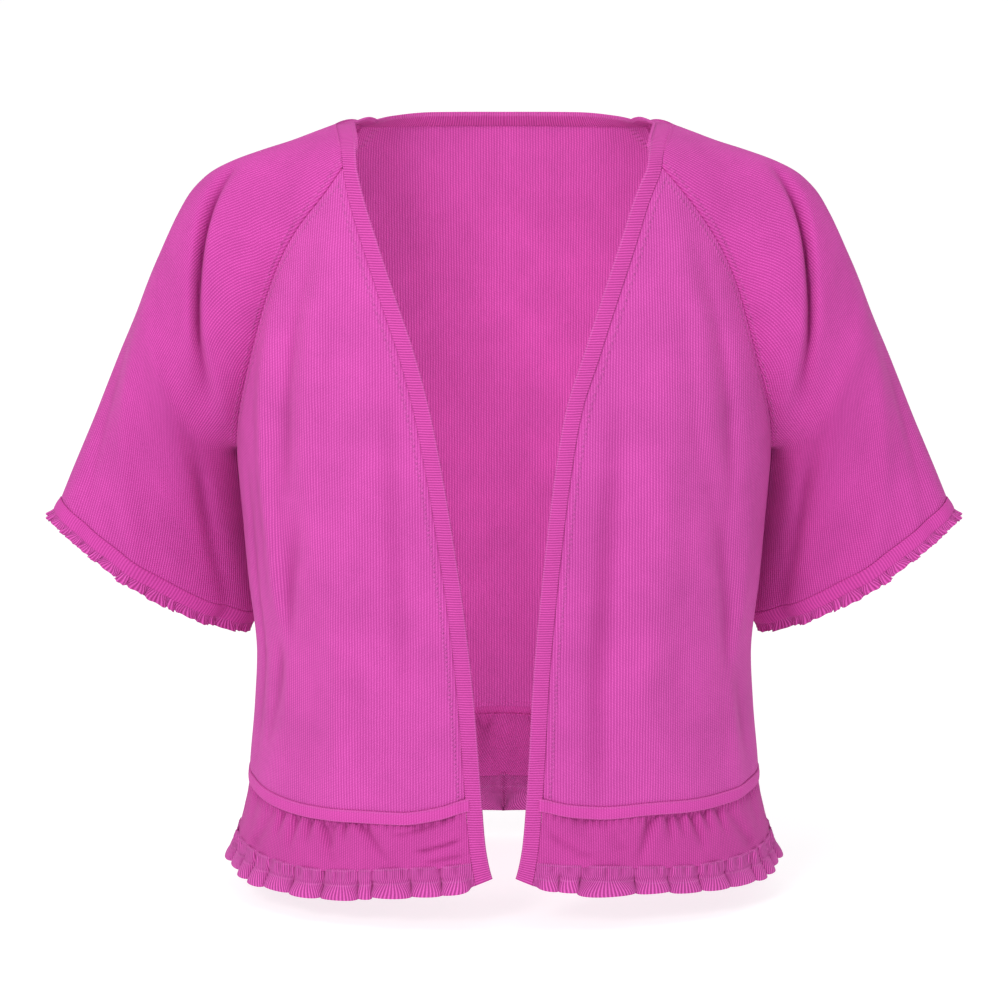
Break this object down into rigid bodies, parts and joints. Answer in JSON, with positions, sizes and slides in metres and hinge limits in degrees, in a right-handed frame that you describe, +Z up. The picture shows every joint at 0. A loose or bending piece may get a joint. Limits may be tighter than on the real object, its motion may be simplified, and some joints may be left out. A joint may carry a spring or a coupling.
{
  "type": "open-front cropped knit jacket with raglan elbow sleeves",
  "caption": "Cropped open-front knit jacket, filled out as worn: raglan elbow sleeves with frilled cuffs, ribbed front and neck band, waist band, gathered peplum and ribbed hem ruffle",
  "frame": {"origin": "midway between the two shoulders, level with the top of the neckline, where the wearer's shoulders hold the jacket", "axes": "+X to the right as seen from the front (the wearer's left), -Y out of the open front, +Z up"},
  "size_m": [0.6864, 0.2869, 0.5622],
  "materials": {
    "plain_knit": "matt fine-rib cotton knit, magenta",
    "rib_band": "matt ribbed cotton band, magenta",
    "gathered_knit": "matt gathered and ribbed cotton knit, magenta"
  },
  "bodies": {
    "root": {"back_panel": "plain_knit", "front_panel_right": "plain_knit", "front_panel_left": "plain_knit", "sleeve_right": "plain_knit", "sleeve_left": "plain_knit", "front_band_right": "rib_band", "front_band_left": "rib_band", "waist_band_back": "rib_band", "waist_band_right": "rib_band", "waist_band_left": "rib_band", "cuff_band_right": "rib_band", "cuff_band_left": "rib_band", "peplum_back": "gathered_knit", "peplum_right": "gathered_knit", "peplum_left": "gathered_knit", "ruffle_back": "gathered_knit", "ruffle_right": "gathered_knit", "ruffle_left": "gathered_knit", "cuff_frill_right": "gathered_knit", "cuff_frill_left": "gathered_knit"}
  },
  "joints": []
}
